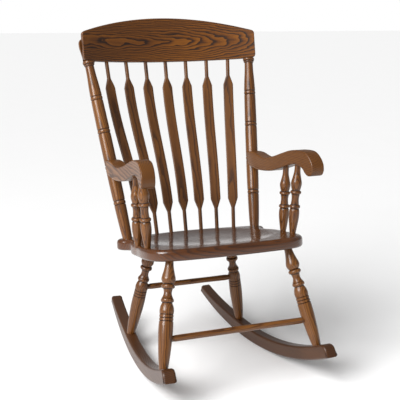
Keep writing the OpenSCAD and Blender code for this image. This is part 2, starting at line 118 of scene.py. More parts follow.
armPosts = {
    "onSeat": [(.258, .119), (.2645, .201)],       # across and back on the seat
    "underArm": [(.347, .030), (.271, .009)],      # forward along the arm, and up
    "largest": .037, "foot": .020, "top": .020, "seatTenon": .024, "armTenon": .019,
    "inset": .004,   # from the arm's middle line towards the sitter
}


def throughPoints(points, steps, closed=False):
    # a smooth line through the points, as many steps to each stretch
    points = [Vector(p) for p in points]
    count = len(points)
    line = []
    for i in range(count if closed else count - 1):
        a, b, c, d = [
            points[(i + k) % count] if closed else points[min(max(i + k, 0), count - 1)]
            for k in (-1, 0, 1, 2)]
        for j in range(steps):
            t = j / steps
            line.append(.5 * (2 * b + (c - a) * t + (2 * a - 5 * b + 4 * c - d) * t * t
                              + (3 * b - a - 3 * c + d) * t ** 3))
    if not closed:
        line.append(points[-1])
    return line


# Where the pieces stand, worked out from the sizes above

def seatPoint(across, back, up=0.0):
    tilt = math.radians(seatPlank["tilt"])
    return Vector((
        across,
        seatPlank["frontY"] + back * math.cos(tilt) + up * math.sin(tilt),
        seatPlank["frontHeight"] - back * math.sin(tilt) + up * math.cos(tilt)))


rockerTurn = math.atan((base["frontTrack"] - base["rearTrack"]) / 2 / base["footSpan"])


def rockerX(y):
    fromFront = (y - base["feetY"]) / base["footSpan"] + .5
    return base["frontTrack"] / 2 * (1 - fromFront) + base["rearTrack"] / 2 * fromFront


def legEnds(side, front):
    at = base["frontLegAt"] if front else base["rearLegAt"]
    footY = base["feetY"] + base["footSpan"] / 2 * (-1 if front else 1)
    radius = rockerBoard["radius"]
    footZ = radius - math.sqrt(
        (radius - rockerBoard["height"]) ** 2 - (footY / math.cos(rockerTurn)) ** 2)
    return (seatPoint(side * at[0], at[1], -seatPlank["thick"]),
            Vector((side * rockerX(footY), footY, footZ)))


postSpread = math.asin((backFrame["topTrack"] - backFrame["track"]) / 2 / backFrame["length"])


def onPost(side, along):
    lean = math.radians(backFrame["lean"])
    way = Vector((side * math.sin(postSpread), math.cos(postSpread) * math.sin(lean),
                  math.cos(postSpread) * math.cos(lean)))
    return seatPoint(side * backFrame["track"] / 2, backFrame["seatBack"]) + way * along


crestRadius = crestRail["chord"] ** 2 / 8 / crestRail["sag"] + crestRail["sag"] / 2


def crestBend(x, radius):
    return crestRail["sag"] - crestRadius + math.sqrt(radius * radius - x * x)


crestLean = math.radians(crestRail["lean"])
crestBack = Vector((0, math.cos(crestLean), -math.sin(crestLean)))
crestUp = Vector((0, math.sin(crestLean), math.cos(crestLean)))
crestOrigin = (
    onPost(1, backFrame["length"]) - Vector((backFrame["topTrack"] / 2, 0, 0))
    - (crestBend(backFrame["topTrack"] / 2, crestRadius)
       + crestRail["thick"] * crestRail["postAt"]) * crestBack)


def crestPoint(x, back, up):
    return crestOrigin + Vector((x, 0, 0)) + crestBack * back + crestUp * up


armLine = (armBoard["height"] - onPost(1, 0).z) / (onPost(1, 1).z - onPost(1, 0).z)
armRoot = onPost(1, armLine)


def armX(forward):
    return armRoot.x + armBoard["flare"] * (max(forward, 0) / armBoard["length"]) ** 3


def rodMatrix(p, q):
    # local z runs from p to q
    d = q - p
    return (Matrix.Translation(p) @ Matrix.Rotation(-math.atan2(d.y, d.z), 4, "X")
            @ Matrix.Rotation(math.atan2(d.x, math.hypot(d.y, d.z)), 4, "Y"))


# Node building

def addNode(tree, kind, inputs=None, **settings):
    made = tree.nodes.new(kind)
    for name, value in settings.items():
        setattr(made, name, value)
    for key, value in (inputs or {}).items():
        if isinstance(value, bpy.types.NodeSocket):
            tree.links.new(value, made.inputs[key])
        else:
            made.inputs[key].default_value = value
    return made


def calc(tree, operation, a, b=0.0, c=0.0, clamp=False):
    inputs = {0: a, 1: b}
    if operation in ("MULTIPLY_ADD", "SMOOTH_MIN"):
        inputs[2] = c
    return addNode(tree, "ShaderNodeMath", inputs, operation=operation, use_clamp=clamp).outputs[0]


def newMaterial(name):
    material = bpy.data.materials.new(name)
    material.use_nodes = True
    return material, material.node_tree, material.node_tree.nodes["Principled BSDF"]


def newTree(name, sizes):
    # a Geometry Nodes tree with a named input for each size
    tree = bpy.data.node_groups.new(name, "GeometryNodeTree")
    tree.interface.new_socket("Geometry", in_out="INPUT", socket_type="NodeSocketGeometry")
    for label, value in sizes.items():
        kind = ("NodeSocketInt" if isinstance(value, int)
                else "NodeSocketVector" if isinstance(value, tuple)
                else "NodeSocketMaterial" if value is None else "NodeSocketFloat")
        made = tree.interface.new_socket(label, in_out="INPUT", socket_type=kind)
        if value is not None:
            made.default_value = value
    tree.interface.new_socket("Geometry", in_out="OUTPUT", socket_type="NodeSocketGeometry")
    return tree, tree.nodes.new("NodeGroupInput"), tree.nodes.new("NodeGroupOutput")


def bakeModifiers(thing):
    made = bpy.data.meshes.new_from_object(
        thing.evaluated_get(bpy.context.evaluated_depsgraph_get()))
    thing.modifiers.clear()
    thing.data = made


def runTree(thing, tree, values):
    # sets the inputs, then turns the result into a plain mesh
    modifier = thing.modifiers.new(tree.name, "NODES")
    modifier.node_group = tree
    for item in tree.interface.items_tree:
        if item.in_out == "INPUT" and item.name in values:
            modifier[item.identifier] = values[item.name]
    bakeModifiers(thing)


def newPiece(name, mesh):
    thing = bpy.data.objects.new(name, mesh)
    scene.collection.objects.link(thing)
    return thing


def finishPiece(piece, node, material, smoothBelow=42):
    mesh = piece.data
    mesh.name = piece.name
    mesh.materials.clear()
    mesh.materials.append(material)
    for polygon in mesh.polygons:
        polygon.use_smooth = True
        polygon.material_index = 0
    mesh.set_sharp_from_angle(angle=math.radians(smoothBelow))
    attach(piece, "root")
    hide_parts(node)
    low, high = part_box(node)
    mine = [v.co for v in mesh.vertices]
    out = max(max(low[k] - min(v[k] for v in mine), max(v[k] for v in mine) - high[k])
              for k in range(3))
    print(f"{piece.name}: {len(mesh.polygons)} faces, {out * 1000:+.1f} mm past its solid's box")


# Stained oak. "grain" holds each point's place in its own board, with z along the grain.

oakLooks = {
    "oak_seat": {"ring": .0068, "pith": (.02, .085), "taper": .012, "belly": .12,
                 "drift": .014, "depth": .40, "rough": .24, "coat": .62, "sheen": .12},
    "oak_crest": {"ring": .0062, "pith": (.004, .032), "taper": .060, "belly": .14,
                  "drift": .024, "depth": .78, "rough": .36, "coat": .20, "sheen": .20},
    "oak_slat": {"ring": .0042, "pith": (.012, .050), "taper": .012, "belly": 0,
                 "drift": .007, "depth": .44, "rough": .38, "coat": .18, "sheen": .20},
    "oak_arm": {"ring": .0050, "pith": (.030, .060), "taper": .020, "belly": 0,
                "drift": .010, "depth": .52, "rough": .36, "coat": .22, "sheen": .20},
    "oak_rocker": {"ring": .0050, "pith": (.050, .050), "taper": .014, "belly": 0,
                   "drift": .008, "depth": .42, "rough": .36, "coat": .25, "sheen": .20},
    "oak_turned": {"ring": .0046, "pith": (.030, .038), "taper": .016, "belly": 0,
                   "drift": .009, "depth": .46, "rough": .30, "coat": .34, "sheen": .12},
    "oak_plug": {"ring": .0030, "pith": (.010, .016), "taper": .020, "belly": 0,
                 "drift": .002, "depth": .50, "rough": .32, "coat": .30, "sheen": .15},
}

grainScale = {
    # how fine each kind of figure is, twice across the grain and once along it
    "wander": (11, 11, 4.2), "waver": (150, 150, 14), "pores": (1500, 1500, 62),
    "fibre": (420, 420, 9), "tone": (13, 13, 2.6),
}

grainShare = {
    # how much each kind of figure darkens the wood, over what all wood has
    "all": .18, "fibre": .42, "tone": .55, "pores": .38, "stain": .62,
}

oakShades = {
    # from palest latewood to the darkest pores, linear colour
    "oak_seat": [(.1053, .034, .0078), (.0702, .0214, .0045),
                 (.0337, .0101, .0028), (.0113, .0038, .0018)],
    "oak_crest": [(.2242, .0775, .0083), (.1156, .0367, .0044),
                  (.0425, .0133, .0022), (.0142, .0051, .002)],
    "oak_slat": [(.162, .064, .0153), (.1037, .038, .0093),
                 (.0432, .016, .0051), (.0173, .007, .0034)],
    "oak_arm": [(.1848, .0704, .011), (.1154, .0398, .0061),
                (.0469, .0156, .0033), (.0162, .0054, .0022)],
    "oak_rocker": [(.0867, .032, .0082), (.0549, .019, .0051),
                   (.0246, .0082, .0031), (.0093, .0034, .002)],
    "oak_turned": [(.2043, .0795, .0159), (.1211, .0424, .0079),
                   (.0484, .0159, .004), (.0151, .0053, .0022)],
    "oak_plug": [(.3, .13, .036), (.19, .076, .02), (.08, .03, .01), (.026, .01, .005)],
}


def oakMaterial(name):
    look, shades = oakLooks[name], oakShades[name]
    material, tree, shader = newMaterial(name)
    grain = addNode(tree, "ShaderNodeAttribute", attribute_name="grain").outputs["Vector"]
    stain = addNode(tree, "ShaderNodeAttribute", attribute_name="stain").outputs["Fac"]

    def speckle(source, scale, detail=2.0, roughness=.5, key="Fac"):
        mapped = addNode(tree, "ShaderNodeMapping", {"Vector": source, "Scale": scale})
        return addNode(tree, "ShaderNodeTexNoise", {
            "Vector": mapped.outputs[0], "Scale": 1.0, "Detail": detail,
            "Roughness": roughness}).outputs[key]

    wander = addNode(tree, "ShaderNodeVectorMath", {
        0: speckle(grain, grainScale["wander"], 3.0, .5, "Color"), 1: (.5, .5, .5)},
        operation="SUBTRACT").outputs[0]
    wander = addNode(tree, "ShaderNodeVectorMath", {
        0: wander, "Scale": look["drift"] * 2}, operation="SCALE").outputs[0]
    moved = addNode(tree, "ShaderNodeVectorMath", {0: grain, 1: wander}, operation="ADD").outputs[0]
    place = addNode(tree, "ShaderNodeSeparateXYZ", {0: moved}).outputs
    along = addNode(tree, "ShaderNodeSeparateXYZ", {0: grain}).outputs[2]

    # growth rings are shells round the heart of the tree, which wanders behind the board
    across = calc(tree, "ADD", place[0], look["pith"][0])
    depth = calc(tree, "MULTIPLY_ADD", along, look["taper"], place[1])
    depth = calc(tree, "MULTIPLY_ADD", calc(tree, "MULTIPLY", along, along), look["belly"], depth)
    depth = calc(tree, "ADD", depth, look["pith"][1])
    radius = calc(tree, "SQRT", calc(
        tree, "MULTIPLY_ADD", across, across, calc(tree, "MULTIPLY", depth, depth)))
    years = calc(tree, "DIVIDE", radius, look["ring"])
    years = calc(tree, "MULTIPLY_ADD", speckle(grain, grainScale["waver"]), .45, years)
    year = calc(tree, "FRACT", years)
    early = addNode(tree, "ShaderNodeValToRGB", {"Fac": year})
    stops = early.color_ramp.elements
    stops[0].position, stops[0].color = 0.0, (1, 1, 1, 1)
    stops[1].position, stops[1].color = 1.0, (.35, .35, .35, 1)
    for position, shade in ((.16, .86), (.36, .34), (.62, .10), (.93, .02)):
        stops.new(position).color = (shade, shade, shade, 1)
    early = early.outputs["Color"]

    poreField = speckle(grain, grainScale["pores"], 1.5, .6)
    pores = addNode(tree, "ShaderNodeMapRange", {
        "Value": poreField, "From Min": .55, "From Max": .70}).outputs[0]
    pores = calc(tree, "MULTIPLY", pores, calc(tree, "MULTIPLY_ADD", early, .65, .35))
    fibre = calc(tree, "SUBTRACT", speckle(grain, grainScale["fibre"]), .5)
    tone = calc(tree, "SUBTRACT", speckle(grain, grainScale["tone"]), .5)

    value = calc(tree, "MULTIPLY_ADD", early, look["depth"], grainShare["all"])
    value = calc(tree, "MULTIPLY_ADD", fibre, grainShare["fibre"], value)
    value = calc(tree, "MULTIPLY_ADD", tone, grainShare["tone"], value)
    value = calc(tree, "MULTIPLY_ADD", pores, grainShare["pores"], value)
    value = calc(tree, "MULTIPLY_ADD", stain, grainShare["stain"], value, clamp=True)
    colour = addNode(tree, "ShaderNodeValToRGB", {"Fac": value})
    stops = colour.color_ramp.elements
    stops[0].position, stops[0].color = .04, (*shades[0], 1)
    stops[1].position, stops[1].color = 1.0, (*shades[3], 1)
    stops.new(.34).color = (*shades[1], 1)
    stops.new(.70).color = (*shades[2], 1)
    tree.links.new(colour.outputs["Color"], shader.inputs["Base Color"])

    gloss = addNode(tree, "ShaderNodeMapRange", {
        "Value": value, "From Min": .1, "From Max": .9,
        "To Min": look["rough"], "To Max": look["rough"] + .16}).outputs[0]
    tree.links.new(gloss, shader.inputs["Roughness"])
    relief = calc(tree, "MULTIPLY_ADD", pores, -.7, calc(tree, "MULTIPLY", early, -.3))
    bump = addNode(tree, "ShaderNodeBump", {
        "Height": relief, "Distance": .00035, "Strength": .4})
    tree.links.new(bump.outputs[0], shader.inputs["Normal"])
    shader.inputs["IOR"].default_value = 1.5
    shader.inputs["Specular IOR Level"].default_value = .32
    shader.inputs["Coat Weight"].default_value = look["coat"]
    shader.inputs["Coat Roughness"].default_value = look["sheen"]
    return material


oak = {name: oakMaterial(name) for name in oakLooks}
print("oak finishes made:", len(oak))


# Sawn boards: a closed outline through the thickness, with rounded long edges

def offsetLoop(loop, distance):
    # the outline moved inwards, corners mitred; the loop runs with its inside on the left
    count = len(loop)
    moved = []
    for i in range(count):
        before = (loop[i] - loop[i - 1]).normalized()
        after = (loop[(i + 1) % count] - loop[i]).normalized()
        inward = Vector((-before.y - after.y, before.x + after.x))
        inward /= max(1 + before.dot(after), .5)
        moved.append(loop[i] + inward * distance)
    return moved


def roundSteps(thick, low, high, quirk=0.0, steps=7):
    # places through the thickness, with how far the outline is pulled in there
    turns = [math.pi / 2 * k / steps for k in range(steps + 1)]
    start = [(low * (1 - math.cos(a)), low * (1 - math.sin(a)) + quirk) for a in turns]
    end = [(thick - high * (1 - math.sin(a)), high * (1 - math.cos(a)) + quirk) for a in turns]
    if quirk:
        start.append((low + rockerBoard["quirkSlope"], 0.0))
        end.insert(0, (thick - high - rockerBoard["quirkSlope"], 0.0))
    return start + end


def sawnBoard(name, lower, upper, rounding, columns, place, grain, shift):
    # lower and upper edge run the same way with as many points; place() puts a point in the chair
    tip = [lower[-1].lerp(upper[-1], k / columns) for k in range(1, columns)]
    root = [upper[0].lerp(lower[0], k / columns) for k in range(1, columns)]
    sameTip = (lower[-1] - upper[-1]).length < 1e-6
    sameRoot = (lower[0] - upper[0]).length < 1e-6
    loop = list(lower) + ([] if sameTip else tip)
    high = list(reversed(upper))
    loop += high[1:] if sameTip else high
    loop += [] if sameRoot else root
    if sameRoot:
        loop.pop()
    count, rows = len(loop), len(lower)
    work = bmesh.new()
    grainOf, ringVerts = [], []

    def addVert(point, c):
        grainOf.append(grain(point.x, point.y, c) + shift)
        return work.verts.new(place(point.x, point.y, c))

    rings = [offsetLoop(loop, inset) for c, inset in rounding]
    for (c, inset), ring in zip(rounding, rings):
        ringVerts.append([addVert(p, c) for p in ring])
    for near, far in zip(ringVerts, ringVerts[1:]):
        for i in range(count):
            j = (i + 1) % count
            work.faces.new((near[i], near[j], far[j], far[i]))
    upperStart = rows - 1 if sameTip else rows + columns - 1
    for side in (0, -1):
        ring, verts, c = rings[side], ringVerts[side], rounding[side][0]
        ladder = []
        for row in range(rows):
            a, b = row, (upperStart + rows - 1 - row) % count
            if a == b:
                ladder.append([verts[a]] * (columns + 1))
            elif row == 0 and not sameRoot:
                ladder.append([verts[0]] + [verts[count - k] for k in range(1, columns)] + [verts[b]])
            elif row == rows - 1 and not sameTip:
                ladder.append([verts[a + k] for k in range(columns + 1)])
            else:
                ladder.append([verts[a]] + [addVert(ring[a].lerp(ring[b], k / columns), c)
                                            for k in range(1, columns)] + [verts[b]])
        for one, two in zip(ladder, ladder[1:]):
            for k in range(columns):
                corners = [one[k], one[k + 1], two[k + 1], two[k]]
                corners = [v for n, v in enumerate(corners) if v not in corners[:n]]
                if len(corners) > 2:
                    work.faces.new(corners)
    bmesh.ops.recalc_face_normals(work, faces=work.faces)
    mesh = bpy.data.meshes.new(name)
    work.to_mesh(mesh)
    work.free()
    attribute = mesh.attributes.new("grain", "FLOAT_VECTOR", "POINT")
    attribute.data.foreach_set("vector", [x for g in grainOf for x in g])
    mesh.attributes.new("stain", "FLOAT", "POINT")
    return newPiece(name, mesh)


# Seat

def seatHalf():
    w, d = seatPlank["width"] / 2, seatPlank["depth"]
    px, py = backFrame["track"] / 2, backFrame["seatBack"]
    return [
        (0, 0), (.40 * w, .004), (.69 * w, .013), (.87 * w, .033), (.97 * w, .072), (w, .27 * d),
        (.99 * w, .40 * d), (.5 * (w + px + .025), .54 * d), (px + .012, py - .084),
        (px + .007, py - .056), (px + .015, py - .035), (px + .030, py - .016),
        (px + .036, py + .005), (px + .029, py + .026), (px + .010, py + .040),
        (px - .020, py + .045), (.42 * px, d - .009), (0, d)]


def hollowAt(x, y):
    # a bowl for each thigh joined by a wide dish at the back
    reachX, reachY = seatPlank["hollowReach"]
    dish = max(0, 1 - (x / reachX) ** 2 - ((y - seatPlank["hollowMiddle"]) / reachY) ** 2)
    ridge = math.exp(-(x / seatPlank["ridgeWidth"]) ** 2) * max(0, 1 - y / seatPlank["ridgeEnd"])
    return seatPlank["hollow"] * (1 - (1 - dish) ** 2) * (1 - .45 * ridge)


def seatPlace(x, y, c):
    up = c - seatPlank["thick"]
    if up > -1e-6:
        up -= hollowAt(x, y)
    return seatPoint(x, y, up)


edgeSteps = 9   # steps between two points of a smooth edge
halfSeat = seatHalf()
mirrored = [(-x, y) for x, y in halfSeat]
wholeSeat = throughPoints(halfSeat + mirrored[-2:0:-1], edgeSteps, closed=True)
seatRows = (len(halfSeat) - 1) * edgeSteps + 1
rightEdge = wholeSeat[:seatRows]
leftEdge = [Vector((-p.x, p.y)) for p in rightEdge]
seatPiece = sawnBoard(
    "seatPlank", rightEdge, leftEdge,
    roundSteps(seatPlank["thick"], seatPlank["lowRound"], seatPlank["topRound"], steps=9), 56,
    seatPlace, lambda x, y, c: Vector((y - .2, c - .02, x)), Vector((.013, .004, .31)))
finishPiece(seatPiece, "seat", oak["oak_seat"])


# Crest rail

def crestEdges():
    c, half = crestRail["cornerRound"], crestRail["chord"] / 2
    rise, endHeight = crestRail["rise"], crestRail["endHeight"]
    arch = (half ** 2 + rise ** 2) / (2 * rise)
    archZ = endHeight + rise - arch
    cornerZ = archZ + math.sqrt((arch - c) ** 2 - (half - c) ** 2)
    turn = math.asin((half - c) / (arch - c))
    cornerShares = [k / 8 for k in range(9)]
    halfShares = [k / 44 for k in range(44)]
    low = [(half - c + c * math.sin(a), c - c * math.cos(a))
           for a in [math.pi / 2 * share for share in cornerShares]]
    top = [(half - c + c * math.cos(a), cornerZ + c * math.sin(a))
           for a in [(math.pi / 2 - turn) * share for share in cornerShares]]
    straight = [((half - c) * share, 0.0) for share in halfShares]
    curved = [(arch * math.sin(turn * share), archZ + arch * math.cos(turn * share))
              for share in halfShares]
    lower = straight + low
    upper = curved + list(reversed(top))
    lower = [(-x, z) for x, z in reversed(lower[1:])] + lower
    upper = [(-x, z) for x, z in reversed(upper[1:])] + upper
    return [Vector(p) for p in lower], [Vector(p) for p in upper]


def crestPlace(x, z, c):
    return crestPoint(x, crestBend(x, crestRadius + c), z)


lowerEdge, upperEdge = crestEdges()
crestPiece = sawnBoard(
    "crestRail", lowerEdge, upperEdge,
    roundSteps(crestRail["thick"], crestRail["edgeRound"], crestRail["edgeRound"]), 22,
    crestPlace,
    lambda x, z, c: Vector((z - .078, c - .011, crestRadius * math.asin(x / crestRadius))),
    Vector((0, 0, .02)))
finishPiece(crestPiece, "crest_rail", oak["oak_crest"])


# Arms

def armEdges():
    return [throughPoints(armBoard[edge], edgeSteps) for edge in ("lower", "upper")]


for side, node, shift in ((-1, "arm_left", (.01, .02, .1)), (1, "arm_right", (.03, -.01, -.2))):
    lowerEdge, upperEdge = armEdges()
    armPiece = sawnBoard(
        "armLeft" if side < 0 else "armRight", lowerEdge, upperEdge,
        roundSteps(armBoard["width"], armBoard["edgeRound"], armBoard["edgeRound"]), 12,
        lambda f, z, c, side=side: Vector((
            side * (armX(f) - armBoard["width"] / 2 + c), armRoot.y - f, armRoot.z + z)),
        lambda f, z, c: Vector((z - .02, c - .023, f - .2)), Vector(shift))
    finishPiece(armPiece, node, oak["oak_arm"])
print("seat, crest rail and arms made")


# Rockers

def rockerEdges():
    radius, height = rockerBoard["radius"], rockerBoard["height"]
    front = math.asin(rockerBoard["frontReach"] / radius)
    rear = math.asin(rockerBoard["rearReach"] / radius)
    nose = rockerBoard["nose"]
    rearLegY = base["feetY"] + base["footSpan"] / 2
    taperFrom = math.asin((rearLegY + rockerBoard["taperAfterLeg"]) / radius)

    def onArc(angle, up):
        return Vector(((radius - up) * math.sin(angle), radius - (radius - up) * math.cos(angle)))

    def heightAt(angle):
        if angle < taperFrom:
            return height
        share = (angle - taperFrom) / (rear - taperFrom)
        return height - (height - rockerBoard["tailHeight"]) * share ** rockerBoard["taperPower"]

    lower, upper = [], []
    longSteps, noseSteps = 84, 12
    for k in range(longSteps + 1):
        angle = rear - (rear + front - nose / radius) * k / longSteps
        lower.append(onArc(angle, 0))
        upper.append(onArc(angle, heightAt(angle)))
    for k in range(1, noseSteps + 1):
        turn = math.pi / 2 * k / noseSteps
        angle = -front + nose / radius * (1 - math.sin(turn))
        lower.append(onArc(angle, 0))
        upper.append(onArc(angle, height - nose + nose * math.cos(turn)))
    return lower[::-1], upper[::-1]


for side, node, shift in ((-1, "rocker_left", (0, 0, .4)), (1, "rocker_right", (.02, .01, -.3))):
    turn = Matrix.Rotation(side * rockerTurn, 4, "Z")
    lowerEdge, upperEdge = rockerEdges()
    rockerPiece = sawnBoard(
        "rockerLeft" if side < 0 else "rockerRight", lowerEdge, upperEdge,
        roundSteps(rockerBoard["width"], rockerBoard["edgeRound"], rockerBoard["edgeRound"],
                   rockerBoard["quirk"]), 8,
        lambda y, z, c, side=side, turn=turn: turn @ Vector((c - rockerBoard["width"] / 2, y, z))
        + Vector((side * rockerX(0), 0, 0)),
        lambda y, z, c: Vector((z - .05, c - .02, y)), Vector(shift))
    finishPiece(rockerPiece, node, oak["oak_rocker"])
print("rockers made")


# Turnings: a line of points with a radius each is spun by one Geometry Nodes tree

turning = {"sides": 72, "stainReach": .0028, "stainDepth": .0016}


def makeLathe():
    tree, start, end = newTree("lathe", {
        "Sides": turning["sides"], "Grain Shift": (0.0, 0.0, 0.0), "Wood": None})
    line = addNode(tree, "GeometryNodeMeshToCurve", {"Mesh": start.outputs["Geometry"]})
    radius = addNode(tree, "GeometryNodeInputNamedAttribute", {"Name": "turnRadius"},
                     data_type="FLOAT").outputs["Attribute"]
    ring = addNode(tree, "GeometryNodeCurvePrimitiveCircle", {
        "Resolution": start.outputs["Sides"], "Radius": 1.0})
    spun = addNode(tree, "GeometryNodeCurveToMesh", {
        "Curve": line.outputs[0], "Profile Curve": ring.outputs[0], "Scale": radius,
        "Fill Caps": True})
    place = addNode(tree, "ShaderNodeVectorMath", {
        0: addNode(tree, "GeometryNodeInputPosition").outputs[0],
        1: start.outputs["Grain Shift"]}, operation="ADD").outputs[0]
    marked = addNode(tree, "GeometryNodeStoreNamedAttribute", {
        "Geometry": spun.outputs[0], "Name": "grain", "Value": place},
        data_type="FLOAT_VECTOR", domain="POINT")
    closed = addNode(tree, "GeometryNodeMergeByDistance", {
        "Geometry": marked.outputs[0], "Distance": .00002})
    real = addNode(tree, "GeometryNodeRealizeInstances", {"Geometry": closed.outputs[0]})
    done = addNode(tree, "GeometryNodeSetMaterial", {
        "Geometry": real.outputs[0], "Material": start.outputs["Wood"]})
    tree.links.new(done.outputs[0], end.inputs["Geometry"])
    return tree


lathe = makeLathe()


def bead(a, b, low, top, steps=14):
    return [(low + (top - low) * math.sin(math.pi * k / steps),
             (a + b) / 2 - (b - a) / 2 * math.cos(math.pi * k / steps))
            for k in range(steps + 1)]


def groove(at, radius, depth, half=.0017):
    side = [(radius, half), (radius - depth * .55, half * .62), (radius - depth, half * .2)]
    return [(r, at - off) for r, off in side] + [(r, at + off) for r, off in reversed(side)]


def smooth(points, steps=10):
    return [tuple(p) for p in throughPoints(points, steps)]


def turnedPiece(name, node, p, q, profile, shift, cutter=None):
    # profile is (radius, height) from p towards q; stain gathers where the turning is hollow
    profile = [(max(r, 0), z) for r, z in profile]
    heights = [z for r, z in profile]

    def radiusNear(z):
        for (r0, z0), (r1, z1) in zip(profile, profile[1:]):
            if z0 <= z <= z1:
                return r0 + (r1 - r0) * (z - z0) / max(z1 - z0, 1e-9)
        return profile[0][0] if z < heights[0] else profile[-1][0]

    mesh = bpy.data.meshes.new(name)
    mesh.from_pydata([(0, 0, z) for z in heights],
                     [(k, k + 1) for k in range(len(profile) - 1)], [])
    radii = mesh.attributes.new("turnRadius", "FLOAT", "POINT")
    radii.data.foreach_set("value", [max(r, 1e-6) for r, z in profile])
    stains = mesh.attributes.new("stain", "FLOAT", "POINT")
    reach = turning["stainReach"]
    stains.data.foreach_set("value", [
        min(1, max(0, (radiusNear(z - reach) + radiusNear(z + reach)) / 2 - r)
            / turning["stainDepth"])
        for r, z in profile])
    piece = newPiece(name, mesh)
    runTree(piece, lathe, {
        "Sides": turning["sides"], "Grain Shift": shift, "Wood": oak["oak_turned"]})
    piece.data.transform(rodMatrix(p, q))
    if cutter is not None:
        cut = piece.modifiers.new("lap", "BOOLEAN")
        cut.operation, cut.solver, cut.object = "DIFFERENCE", "EXACT", cutter
        bakeModifiers(piece)
    finishPiece(piece, node, oak["oak_turned"], smoothBelow=38)


# Legs

legTurning = {"largest": .046, "top": .025, "foot": .028, "seatTenon": .024, "rockerTenon": .023}


def legProfile(span):
    r, top, foot = legTurning["largest"] / 2, legTurning["top"] / 2, legTurning["foot"] / 2
    return (
        [(top, -legTurning["seatTenon"])]
        + smooth([(top, 0), (.62 * r, .06 * span), (.76 * r, .107 * span), (.98 * r, .172 * span),
                  (.86 * r, .205 * span), (.70 * r, .222 * span)])
        + bead(.226 * span, .265 * span, .68 * r, .92 * r)
        + smooth([(.64 * r, .268 * span), (.55 * r, .30 * span), (.62 * r, .33 * span),
                  (.78 * r, .352 * span)])
        + bead(.356 * span, .392 * span, .72 * r, .90 * r)
        + smooth([(.69 * r, .396 * span), (.90 * r, .43 * span), (.99 * r, .466 * span),
                  (.96 * r, .49 * span)])
        + groove(.502 * span, .96 * r, .0018) + groove(.532 * span, .965 * r, .0018)
        + groove(.562 * span, .97 * r, .0018)
        + smooth([(.98 * r, .572 * span), (r, .62 * span), (.98 * r, .70 * span), (.87 * r, .83 * span),
                  (.74 * r, .93 * span), (foot, span)], 12)
        + [(foot, span + legTurning["rockerTenon"])])


# where in the tree each turning was cut
shifts = [(.00, .00, .10), (.007, .004, .53), (-.006, .008, -.41), (.003, -.007, .87),
          (.009, .002, -.77), (-.004, -.005, .29), (.006, .009, 1.21), (-.008, .001, -1.13)]
legNames = [(-1, True, "leg_front_left"), (1, True, "leg_front_right"),
            (-1, False, "leg_rear_left"), (1, False, "leg_rear_right")]
for k, (side, front, node) in enumerate(legNames):
    top, foot = legEnds(side, front)
    name = "leg" + ("Front" if front else "Rear") + ("Left" if side < 0 else "Right")
    turnedPiece(name, node, top, foot, legProfile((foot - top).length), shifts[k])


# Stretchers

stretcherTenon = .015
stretcherTurning = {
    "front_stretcher": {"middle": .021, "end": .0185, "at": base["frontStretcherAt"]},
    "rear_stretcher": {"middle": .020, "end": .0185, "at": base["rearStretcherAt"]},
}
for k, (node, size) in enumerate(stretcherTurning.items()):
    top, foot = legEnds(1, node.startswith("front"))
    right = top.lerp(foot, size["at"])
    left = Vector((-right.x, right.y, right.z))
    half = right.x - legTurning["largest"] / 2 + stretcherTenon
    end, middle = size["end"] / 2, size["middle"] / 2
    side = smooth([(end, half - .020), (end + .001, half - .034), (middle - .0003, half * .45),
                   (middle, 0)], 9)
    profile = ([(end, -half)] + [(r, -z) for r, z in side] + [(r, z) for r, z in side[-2::-1]]
               + [(end, half)])
    profile = [(r, z + right.x) for r, z in profile]
    turnedPiece("frontStretcher" if k == 0 else "rearStretcher", node, left, right, profile,
                shifts[4 + k])


# Arm posts

def armPostProfile(span):
    r, foot, top = armPosts["largest"] / 2, armPosts["foot"] / 2, armPosts["top"] / 2
    return (
        [(foot, -armPosts["seatTenon"])]
        + smooth([(foot, 0), (.74 * r, .11 * span), (.93 * r, .24 * span), (.91 * r, .33 * span),
                  (.76 * r, .362 * span)])
        + bead(.366 * span, .415 * span, .76 * r, r)
        + smooth([(.74 * r, .42 * span), (.66 * r, .50 * span), (.75 * r, .565 * span)])
        + bead(.572 * span, .62 * span, .76 * r, r)
        + smooth([(.76 * r, .626 * span), (.99 * r, .72 * span), (.80 * r, .80 * span),
                  (.58 * r, .89 * span), (top, span)])
        + [(top, span + armPosts["armTenon"])])


for k, (side, row, node) in enumerate((
        (-1, 0, "arm_post_front_left"), (1, 0, "arm_post_front_right"),
        (-1, 1, "arm_post_rear_left"), (1, 1, "arm_post_rear_right"))):
    across, back = armPosts["onSeat"][row]
    forward, up = armPosts["underArm"][row]
    foot = seatPoint(side * across, back)
    top = Vector((side * (armX(forward) - armPosts["inset"]),
                  armRoot.y - forward, armRoot.z + up))
    name = "armPost" + ("Front" if row == 0 else "Rear") + ("Left" if side < 0 else "Right")
    turnedPiece(name, node, foot, top, armPostProfile((top - foot).length), shifts[7 - k])
print("legs, stretchers and arm posts turned")


# Back posts, each with a lap on its front for the crest rail

postTurning = {"largest": .044, "foot": .033, "tenon": .024}


def postRing(at, r):
    return ([(r, at - .009), (r - .0011, at - .0078), (r - .0018, at - .0065)]
            + bead(at - .006, at + .006, r - .0016, r + .0006)
            + [(r - .0018, at + .0065), (r - .0011, at + .0078), (r, at + .009)])


